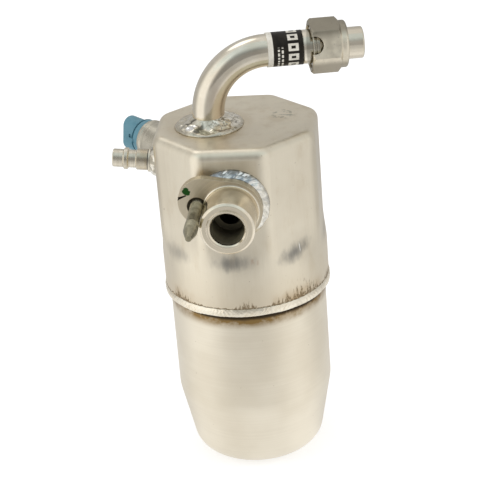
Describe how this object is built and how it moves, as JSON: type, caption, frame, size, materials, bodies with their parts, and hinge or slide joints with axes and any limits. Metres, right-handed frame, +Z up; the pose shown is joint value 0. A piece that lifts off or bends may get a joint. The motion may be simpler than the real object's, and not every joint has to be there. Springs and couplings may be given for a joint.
{
  "type": "air conditioning filter drier",
  "caption": "Welded two-piece aluminium accumulator and filter drier can with a captive-nut inlet tube, a block outlet with stud, a charging port and a pressure switch.",
  "frame": {"origin": "centre of the can's flat bottom", "axes": "+Z up along the can's axis; the flat with the outlet block faces -Y; the charging port points to -X"},
  "size_m": [0.1594, 0.1815, 0.2717],
  "materials": {
    "shell_aluminium": "satin drawn aluminium with fine draw lines",
    "weld_aluminium": "as-welded, rippled, slightly heat tinted",
    "tube_aluminium": "smooth bright drawn tube",
    "nut_aluminium": "dull machined",
    "block_aluminium": "bright machined",
    "stud_steel": "dull zinc plate",
    "service_steel": "bright turned",
    "switch_steel": "bright turned, plated",
    "valve_brass": "turned",
    "spring_steel": "bright wire and strip",
    "contact_brass": "tinned strip",
    "seal_rubber": "matt",
    "label_sleeve": "semi-matt sleeve with pale marks",
    "connector_plastic": "satin moulded, pale blue",
    "plunger_plastic": "moulded",
    "pickup_aluminium": "mill finish",
    "filter_plastic": "moulded with fine mesh",
    "strap_plastic": "moulded",
    "bag_fabric": "felt-like woven bag"
  },
  "bodies": {
    "can": {"upper_shell": "shell_aluminium", "lower_shell": "shell_aluminium", "girth_weld": "weld_aluminium", "tube_weld": "weld_aluminium", "block_weld": "weld_aluminium", "service_port_weld": "weld_aluminium", "switch_port_weld": "weld_aluminium", "inlet_tube": "tube_aluminium", "outlet_block": "block_aluminium", "service_port_boss": "block_aluminium", "switch_port": "block_aluminium", "block_stud": "stud_steel", "service_port_body": "service_steel", "switch_housing": "switch_steel", "service_valve_core": "valve_brass", "switch_port_core": "valve_brass", "service_valve_spring": "spring_steel", "switch_diaphragm": "spring_steel", "switch_contact_blade": "contact_brass", "switch_terminal_upper": "contact_brass", "switch_terminal_lower": "contact_brass", "inlet_o_ring": "seal_rubber", "service_port_o_ring": "seal_rubber", "switch_o_ring": "seal_rubber", "tube_label": "label_sleeve", "switch_connector": "connector_plastic", "pickup_tube": "pickup_aluminium", "oil_filter": "filter_plastic", "deflector": "filter_plastic", "bag_strap": "strap_plastic", "desiccant_bag": "bag_fabric"},
    "nut": {"coupling_nut": "nut_aluminium"},
    "valve_pin": {"service_valve_pin": "valve_brass"},
    "switch_plunger_body": {"switch_plunger": "plunger_plastic"}
  },
  "joints": [
    {"name": "nut_spin", "type": "hinge", "parent": "can", "child": "nut", "pos_m": [0.05612, 0.0115, 0.25613], "axis": [0.9778, 0.2078, -0.0262], "continuous": true},
    {"name": "valve_pin_slide", "type": "slide", "parent": "can", "child": "valve_pin", "axis": [0.9945, 0, -0.1045], "range_m": [0, 0.0015], "stiffness_N_per_m": 1000, "springref_m": -0.002, "deforming": ["service_valve_spring"]},
    {"name": "switch_plunger_slide", "type": "slide", "parent": "can", "child": "switch_plunger_body", "axis": [-0.7071, 0.7071, 0], "range_m": [0, 0.0005], "stiffness_N_per_m": 1500}
  ]
}
